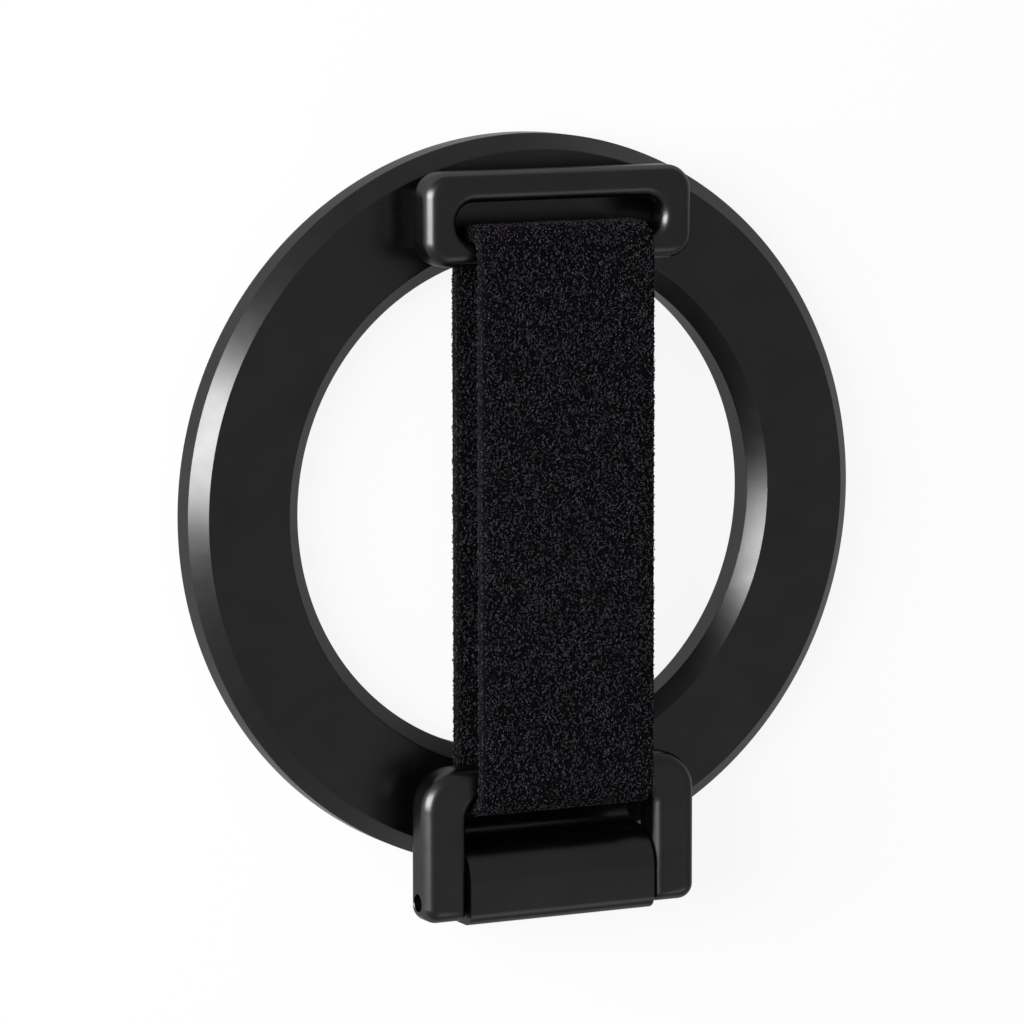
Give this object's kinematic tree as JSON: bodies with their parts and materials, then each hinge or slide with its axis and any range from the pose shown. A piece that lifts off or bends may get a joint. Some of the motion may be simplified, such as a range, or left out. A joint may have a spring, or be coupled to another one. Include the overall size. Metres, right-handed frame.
{
  "type": "phone finger strap",
  "caption": "Flat magnetic ring for the back of a phone, with a knitted elastic finger strap looped between a raised slotted buckle and a hinged bracket.",
  "frame": {"origin": "centre of the part's outline on the underside of the back pad, which is the face it lies on", "axes": "+Z out of the ring's front, +Y from the hinge towards the buckle, X along the hinge pin"},
  "size_m": [0.056, 0.059, 0.0094],
  "materials": {
    "anodised_black": "satin black anodised aluminium",
    "coated_black": "satin black coated zinc casting",
    "bare_steel": "plain steel",
    "magnet_plating": "nickel plated magnet",
    "pin_black": "blackened steel",
    "pad_rubber": "fine matt silicone rubber",
    "strap_knit": "black elastic knit with a short looped pile"
  },
  "bodies": {
    "base": {"ring_body": "anodised_black", "shield_ring": "bare_steel", "back_pad": "pad_rubber", "magnet_01": "magnet_plating", "magnet_02": "magnet_plating", "magnet_03": "magnet_plating", "magnet_04": "magnet_plating", "magnet_05": "magnet_plating", "magnet_06": "magnet_plating", "magnet_07": "magnet_plating", "magnet_08": "magnet_plating", "magnet_09": "magnet_plating", "magnet_10": "magnet_plating", "magnet_11": "magnet_plating", "magnet_12": "magnet_plating", "magnet_13": "magnet_plating", "magnet_14": "magnet_plating", "magnet_15": "magnet_plating", "magnet_16": "magnet_plating", "top_buckle": "coated_black", "buckle_screw_left": "bare_steel", "buckle_screw_right": "bare_steel", "strap": "strap_knit"},
    "bracket": {"hinge_bracket": "coated_black", "hinge_pin": "pin_black"}
  },
  "joints": [
    {"name": "bracket_hinge", "type": "hinge", "parent": "base", "child": "bracket", "pos_m": [0, -0.02765, 0.0068], "axis": [1, 0, 0], "range_deg": [0, 60], "stiffness_Nm_per_rad": 0.005, "deforming": ["strap"]}
  ]
}
